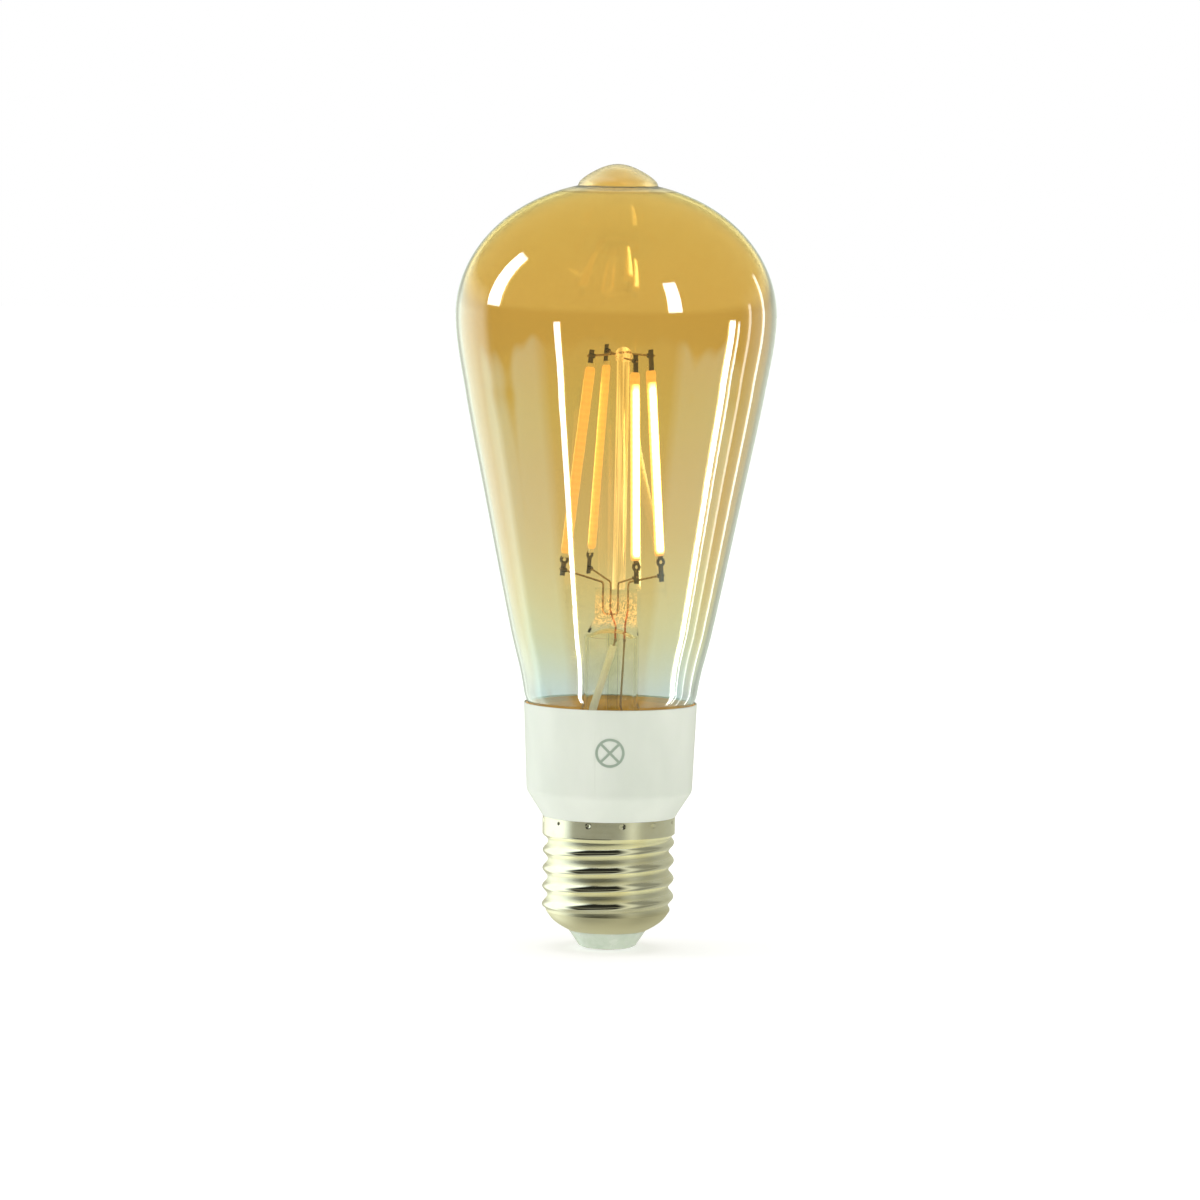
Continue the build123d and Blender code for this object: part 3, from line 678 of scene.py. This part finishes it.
def build_envelope():
    """Outer and inner wall as two lathed skins, joined round the end of the neck."""
    mesh = lathe("glass_bulb", outer_line(), GLASS_COLUMNS)
    wall = lathe("glass_bulb_inside", inner_line(), GLASS_COLUMNS)
    whole = bmesh.new()
    whole.from_mesh(mesh)
    whole.from_mesh(wall)
    rims = [edge for edge in whole.edges if edge.is_boundary]
    bmesh.ops.bridge_loops(whole, edges=rims)
    bmesh.ops.recalc_face_normals(whole, faces=whole.faces)
    whole.to_mesh(mesh)
    whole.free()
    mesh.shade_smooth()
    mesh.materials.append(MATERIALS["coated_glass"])
    add_object("glass_bulb", mesh, "coated_glass", "glass_envelope")


# --- screw shell --------------------------------------------------------------------------------
def shell_section(z):
    """Radius of the cap's round section at a height, and how far its centre stands off the axis."""
    if z <= CONE_TOP:
        t = (z - shell_low.z) / (CONE_TOP - shell_low.z)
        bulge = CONE_BULGE * math.sin(math.pi * t) * (1 - 0.3 * t)
        return CONE_FOOT_RADIUS + (CONE_RADIUS - CONE_FOOT_RADIUS) * t + bulge, 0.0
    if z < RUN_IN_TOP:
        t = (z - CONE_TOP) / (RUN_IN_TOP - CONE_TOP)
        return CONE_RADIUS + (THREAD_MEAN - CONE_RADIUS) * t, THREAD_OFFSET * t
    if z <= RUN_OUT_LOW:
        return THREAD_MEAN, THREAD_OFFSET
    if z < SKIRT_LOW:
        t = (z - RUN_OUT_LOW) / (SKIRT_LOW - RUN_OUT_LOW)
        return THREAD_MEAN + (SKIRT_RADIUS - THREAD_MEAN) * t, THREAD_OFFSET * (1 - t)
    return SKIRT_RADIUS, 0.0


def shell_ring(z, inset):
    """One ring of the cap at a height, with the punch marks pressed in on the outside."""
    radius, stand_off = shell_section(z)
    crest = math.pi + math.tau * (z - LEFT_CREST) / THREAD_PITCH
    ring = []
    for i in range(SHELL_COLUMNS):
        turn = math.tau * i / SHELL_COLUMNS
        from_crest = turn - crest
        across = stand_off * math.sin(from_crest)
        r = stand_off * math.cos(from_crest) + math.sqrt(radius**2 - across**2) - inset
        if not inset:
            r -= punch_depth(turn, z)
        ring.append((r * math.cos(turn), r * math.sin(turn), z))
    return ring


def punch_depth(turn, z):
    """Depth of the round punch marks that stake the skirt to the collar."""
    spacing = math.tau / PUNCH_MARKS
    nearest = FIRST_PUNCH + spacing * round((turn - FIRST_PUNCH) / spacing)
    across = (turn - nearest) * SKIRT_RADIUS
    distance = math.hypot(across, z - PUNCH_HEIGHT)
    if distance > PUNCH_REACH:
        return 0.0
    return PUNCH_DEPTH * (1 - (distance / PUNCH_REACH) ** 2) ** 1.5


def build_shell():
    """Screw cap in thin sheet: the thread shows outside and in, and both edges of the sheet are closed."""
    low, high = shell_low.z, shell_high.z
    heights = [low + (high - low) * i / SHELL_ROWS for i in range(SHELL_ROWS + 1)]
    outer = [shell_ring(z, 0) for z in heights]
    inner = [shell_ring(z, SHELL_WALL) for z in heights[::4]]
    vertices, index = stacked(outer + inner[::-1])
    faces = bridged(index + [index[0]], SHELL_COLUMNS)
    mesh = mesh_from("screw_cap", vertices, faces)
    mesh.materials.append(MATERIALS["nickel_shell"])
    piece = add_object("screw_cap", mesh, "nickel_shell", "screw_shell")
    sharpen(piece)


def sharpen(piece, angle=40):
    """Keep corners crisp where two faces meet at more than an angle, in degrees."""
    mesh = piece.data
    whole = bmesh.new()
    whole.from_mesh(mesh)
    for edge in whole.edges:
        if len(edge.link_faces) == 2 and edge.calc_face_angle() > math.radians(angle):
            edge.smooth = False
    whole.to_mesh(mesh)
    whole.free()


# --- filaments ----------------------------------------------------------------------------------
def coordinates(node):
    """Vertices of a frame node as rows of an array."""
    data = nodes_in_frame[node].data
    flat = np.empty(len(data.vertices) * 3)
    data.vertices.foreach_get("co", flat)
    return flat.reshape(-1, 3)


def strip_place(name):
    """Position and turn of a filament: local Z runs up the strip and local -Y is the dies' side."""
    strip = coordinates(f"filament_{name}_substrate")
    middle = (strip.min(0) + strip.max(0)) / 2
    axes = np.linalg.eigh(np.cov((strip - middle).T))[1]
    along = Vector(axes[:, 2])
    if along.z < 0:
        along = -along
    thin = Vector(axes[:, 0])
    dies = coordinates(f"filament_{name}_dies")
    toward_dies = Vector((dies.min(0) + dies.max(0)) / 2 - middle)
    if thin.dot(toward_dies) > 0:
        thin = -thin
    wide = thin.cross(along)
    place = Matrix((wide, thin, along)).transposed().to_4x4()
    place.translation = Vector(middle)
    return place


def signed_power(value, power):
    """A power of a value's size, with the value's sign."""
    return math.copysign(abs(value) ** power, value)


def coat_swell(z, phases):
    """Size of the coat's section along the strip: rounded in at the ends, slightly uneven between."""
    end_round = 0.9 * MM
    from_end = COAT_HALF_LENGTH - abs(z)
    swell = 1.0
    if from_end < end_round:
        swell = 0.62 + 0.38 * math.sqrt(max(0.0, 1 - (1 - from_end / end_round) ** 2))
    long_wave = 0.012 * math.sin(900 * z + phases[0])
    short_wave = 0.008 * math.sin(2300 * z + phases[1])
    return swell * (1 + long_wave + short_wave)


def coat_ring(z, swell):
    """One ring of the coat: a soft-cornered section, just inside the plain coat that it replaces."""
    half_width = 0.985 * COAT_HALF_WIDTH * swell
    half_depth = 0.985 * COAT_HALF_DEPTH * swell
    ring = []
    for i in range(COAT_COLUMNS):
        turn = math.tau * i / COAT_COLUMNS
        x = half_width * signed_power(math.cos(turn), 0.72)
        y = half_depth * signed_power(math.sin(turn), 0.85)
        ring.append((x, y, z))
    return ring


def build_coat(name):
    """Silicone coat of one filament, with its rings closer together near the ends."""
    wobble = random.Random(name)
    phases = [wobble.uniform(0, math.tau) for _ in range(2)]
    rings = []
    for k in range(COAT_ROWS + 1):
        along = -math.cos(math.pi * k / COAT_ROWS)
        z = COAT_HALF_LENGTH * (0.35 * along + 0.65 * signed_power(along, 0.6))
        rings.append(coat_ring(z, coat_swell(z, phases)))
    vertices, index = stacked(rings)
    faces = bridged(index, COAT_COLUMNS)
    faces.append(tuple(index[0][::-1]))
    faces.append(tuple(index[-1]))
    mesh = mesh_from(f"filament_{name}_coat", vertices, faces)
    mesh.materials.append(MATERIALS["phosphor"])
    piece = add_object(f"filament_{name}_coat", mesh, "phosphor", f"filament_{name}_phosphor")
    piece.matrix_world = strip_place(name)
    sharpen(piece, 50)


# --- studio -------------------------------------------------------------------------------------
def build_floor():
    """White paper under the lamp.  It glows a little, and isn't seen mirrored or through glass."""
    mesh = bpy.data.meshes.new("floor")
    half = 4.0
    corners = [(-half, -half, 0), (half, -half, 0), (half, half, 0), (-half, half, 0)]
    mesh.from_pydata(corners, [], [(0, 1, 2, 3)])
    floor = bpy.data.objects.new("floor", mesh)
    scene.collection.objects.link(floor)
    material, tree, shader = new_material("floor_paper")
    fibres = span(tree, noise(tree, 60, 3), 0.3, 0.7, 0, 1)
    paper = blend_colors(tree, fibres, (0.93, 0.93, 0.93), (0.95, 0.95, 0.95))
    tree.links.new(paper, shader.inputs["Base Color"])
    shader.inputs["Roughness"].default_value = 0.9
    shader.inputs["Specular IOR Level"].default_value = 0.0
    # Painted shade: the glow is weaker near the lamp, which darkens the paper round it so the contact
    # shadow shows; away from the lamp it grows until the paper is plain white.
    shader.inputs["Emission Color"].default_value = (1.0, 0.96, 1.0, 1)
    place = tree.nodes.new("ShaderNodeTexCoord")
    away = tree.nodes.new("ShaderNodeVectorMath")
    away.operation = "LENGTH"
    tree.links.new(place.outputs["Object"], away.inputs[0])
    glow = span(tree, away.outputs["Value"], 40 * MM, 200 * MM, 0.40, 0.62)
    tree.links.new(glow, shader.inputs["Emission Strength"])
    mesh.materials.append(material)
    floor.visible_glossy = False
    floor.visible_transmission = False


def direction_angles(tree):
    """Azimuth from the front, positive to the right, and elevation of a world direction, in degrees."""
    place = tree.nodes.new("ShaderNodeTexCoord")
    parts = tree.nodes.new("ShaderNodeSeparateXYZ")
    tree.links.new(place.outputs["Generated"], parts.inputs[0])
    x, y, z = parts.outputs
    azimuth = math_node(tree, "ARCTAN2", x, math_node(tree, "MULTIPLY", y, -1))
    elevation = math_node(tree, "ARCSINE", z)
    to_degrees = 180 / math.pi
    return [math_node(tree, "MULTIPLY", angle, to_degrees) for angle in (azimuth, elevation)]


def window(tree, value, middle, half, soft):
    """1 inside a range of a value, falling softly to 0 outside it."""
    away = math_node(tree, "ABSOLUTE", math_node(tree, "SUBTRACT", value, middle))
    return span(tree, away, half + soft, half, 0, 1)


# Softboxes seen in reflections: azimuth, half width, elevation, half height (degrees), brightness.
SOFTBOXES = (
    (92, 2.6, -16, 13, 26.0),
    (99, 0.7, -16, 12, 12.0),
    (112, 1.2, -12, 18, 4.0),
    (132, 1.6, -8, 24, 4.5),
    (-43, 2.0, -19, 14, 26.0),
    (-100, 6.5, 24, 17, 20.0),
    (43, 5.0, 20, 13, 20.0),
)


def softboxes(tree, azimuth, elevation):
    """Brightness of all the softboxes in a direction."""
    total = None
    for middle, half_width, height, half_height, power in SOFTBOXES:
        across = window(tree, azimuth, middle, half_width, 0.6)
        upright = window(tree, elevation, height, half_height, 2.0)
        box = math_node(tree, "MULTIPLY", math_node(tree, "MULTIPLY", across, upright), power)
        total = box if total is None else math_node(tree, "ADD", total, box)
    return total


def room_in_glass(tree, azimuth, elevation):
    """What the outside of the glass mirrors: a dark room, wavy-topped cards below, a pale wall behind."""
    from_front = math_node(tree, "ABSOLUTE", azimuth)
    wave = math_node(tree, "SINE", math_node(tree, "MULTIPLY", azimuth, math.radians(7)))
    ripple = math_node(tree, "SINE", math_node(tree, "MULTIPLY", azimuth, math.radians(19)))
    edge = math_node(tree, "MULTIPLY_ADD", ripple, 1.2, elevation)
    edge = math_node(tree, "MULTIPLY_ADD", wave, 2.6, edge)
    below = span(tree, edge, -13, -16.5, 0, 1)
    low = span(tree, elevation, 16, 0, 0, 1)
    right_card = math_node(tree, "MULTIPLY", window(tree, azimuth, 82, 28, 10), 1.15)
    left_card = math_node(tree, "MULTIPLY", window(tree, azimuth, -88, 24, 12), 1.5)
    cards = math_node(tree, "MULTIPLY", math_node(tree, "ADD", right_card, left_card), below)
    wall = math_node(tree, "MULTIPLY", span(tree, from_front, 100, 130, 0, 1), low)
    left_wall = math_node(tree, "MULTIPLY", window(tree, azimuth, -132, 20, 8), low)
    wall = math_node(tree, "MULTIPLY_ADD", left_wall, 1.5, wall)
    return added(
        tree, (0.06, 0.055, 0.045), scaled(tree, (0.05, 0.16, 0.12), below),
        scaled(tree, (0.42, 0.98, 1.10), cards), scaled(tree, (0.98, 1.10, 0.98), wall),
    )


def room_inside(tree, elevation):
    """What is mirrored inside the glass: a bright ceiling, a darker horizon and a pale floor."""
    above = span(tree, elevation, 3, 9, 0, 1)
    below = span(tree, elevation, -13, -17, 0, 1)
    return added(
        tree, (0.32, 0.32, 0.26), scaled(tree, (1.9, 1.95, 1.6), above),
        scaled(tree, (0.6, 0.6, 0.5), below),
    )


def room_in_metal(tree, azimuth, elevation, bounces):
    """What the cap mirrors: a pale room whose front is dark above and below the horizon."""
    # A ray that is mirrored twice finds a brighter room without the dark front.
    again = span(tree, bounces, 1, 2, 0, 1)
    below = window(tree, elevation, -35, 23, 4)
    above = window(tree, elevation, 36, 34, 4)
    front = window(tree, azimuth, -27, 46, 16)
    side = math_node(tree, "MULTIPLY", window(tree, azimuth, 84, 16, 16), 0.45)
    dark = math_node(tree, "MAXIMUM", front, side)
    dark = math_node(tree, "MULTIPLY", dark, math_node(tree, "MAXIMUM", below, above))
    dark = math_node(tree, "MULTIPLY", dark, math_node(tree, "SUBTRACT", 1, again))
    glint = math_node(tree, "MULTIPLY", window(tree, azimuth, 42, 0, 18), 0.30)
    rear = span(tree, math_node(tree, "ABSOLUTE", azimuth), 130, 165, 0, 0.12)
    pale = math_node(tree, "MULTIPLY_ADD", again, 0.38, 0.50)
    pale = math_node(tree, "ADD", pale, math_node(tree, "ADD", glint, rear))
    kept = math_node(tree, "MULTIPLY_ADD", dark, -0.95, 1.0)
    room = scaled(tree, (0.96, 0.98, 0.78), math_node(tree, "MULTIPLY", pale, kept))
    above_floor = span(tree, elevation, -55, -35, 0, 0.95)
    left_box = math_node(tree, "MULTIPLY", window(tree, azimuth, -112, 28, 18), above_floor)
    return added(tree, room, scaled(tree, (0.88, 1.0, 1.0), left_box))


# Plain colours that some rays find instead of a room.
BACKDROP = (1.0, 1.0, 1.0)
METAL_BEHIND_GLASS = (1.5, 1.5, 1.4)
DEEP_IN_GLASS = (0.85, 0.85, 0.75)
SOFT_LIGHT_OUTSIDE = (0.48, 0.505, 0.455)
SOFT_LIGHT_INSIDE = (1.9, 1.95, 1.9)


def build_world():
    """White studio.  What a ray finds in it depends on the surface that the ray has left."""
    world = bpy.data.worlds.new("studio")
    world.use_nodes = True
    scene.world = world
    tree = world.node_tree
    tree.nodes.clear()
    azimuth, elevation = direction_angles(tree)
    boxes = softboxes(tree, azimuth, elevation)
    outside = added(tree, room_in_glass(tree, azimuth, elevation), scaled(tree, (1, 1, 1), boxes))
    dim_boxes = math_node(tree, "MULTIPLY", boxes, 0.4)
    inside = added(tree, room_inside(tree, elevation), scaled(tree, (1, 1, 1), dim_boxes))
    light_path = tree.nodes.new("ShaderNodeLightPath")
    reflections = light_path.outputs["Glossy Depth"]
    passes = light_path.outputs["Transmission Depth"]
    metal = room_in_metal(tree, azimuth, elevation, reflections)

    reflected = math_node(tree, "MINIMUM", reflections, 1)
    scattered = math_node(tree, "MINIMUM", light_path.outputs["Diffuse Depth"], 1)
    through = math_node(tree, "MINIMUM", passes, 1)
    deep = span(tree, passes, 2, 3, 0, 1)
    metal = blend_colors(tree, through, metal, METAL_BEHIND_GLASS)
    glass = blend_colors(tree, through, outside, inside)
    glass = blend_colors(tree, deep, glass, DEEP_IN_GLASS)
    # A perfectly sharp ray comes from clear glass, a blurred one from metal, plastic or the cloudy tip.
    mirrored = blend_colors(tree, light_path.outputs["Is Singular Ray"], metal, glass)
    color = blend_colors(tree, reflected, BACKDROP, mirrored)
    soft_light = blend_colors(tree, through, SOFT_LIGHT_OUTSIDE, SOFT_LIGHT_INSIDE)
    color = blend_colors(tree, scattered, color, soft_light)
    background = tree.nodes.new("ShaderNodeBackground")
    tree.links.new(color, background.inputs["Color"])
    output = tree.nodes.new("ShaderNodeOutputWorld")
    tree.links.new(background.outputs[0], output.inputs["Surface"])
    world.cycles.sampling_method = "NONE"


def add_light(name, location, target, size, power):
    """A soft rectangular light that isn't seen itself, directly, mirrored or through glass."""
    data = bpy.data.lights.new(name, "AREA")
    data.shape = "RECTANGLE"
    data.size, data.size_y = size
    data.energy = power
    lamp = bpy.data.objects.new(name, data)
    lamp.location = location
    aim = Vector(target) - Vector(location)
    lamp.rotation_euler = aim.to_track_quat("-Z", "Y").to_euler()
    lamp.visible_camera = False
    lamp.visible_glossy = False
    lamp.visible_transmission = False
    scene.collection.objects.link(lamp)
    return lamp


def build_lights():
    """Soft light from above for the floor, and from both sides for the collar."""
    add_light("overhead", (0, 0.1, 1.6), (0, 0, 0), (1.8, 1.8), 9.0)
    add_light("left_side", (-0.85, -0.05, 0.35), (0, 0, 0.04), (0.3, 0.7), 1.3)
    right = add_light("right_side", (0.55, -0.75, 0.3), (0, 0, 0.04), (0.3, 0.6), 0.55)
    right.data.color = (1.0, 0.90, 0.74)


def build_camera():
    """Long lens from the front, a little above, with the slight tilt that the lamp shows."""
    data = bpy.data.cameras.new("camera")
    camera = bpy.data.objects.new("camera", data)
    scene.collection.objects.link(camera)
    distance = 1.2
    eye_height = 0.165
    tilt = math.radians(0.84)
    aim = Vector((-2.4 * MM, 0, 70 * MM))
    data.sensor_width = 36.0
    data.lens = 180.6
    data.dof.use_dof = False
    camera.location = Vector((aim.x, -distance, eye_height))
    look = (aim - camera.location).to_track_quat("-Z", "Y")
    roll = Matrix.Rotation(tilt, 4, "Z")
    camera.matrix_world = Matrix.LocRotScale(camera.location, look, None) @ roll
    scene.camera = camera


# --- assembly -----------------------------------------------------------------------------------
build_camera()
dress_frame()
build_envelope()
build_shell()
for filament in FILAMENTS:
    build_coat(filament)
build_floor()
build_world()
build_lights()
scene.view_settings.view_transform = "Standard"
scene.view_settings.look = "None"
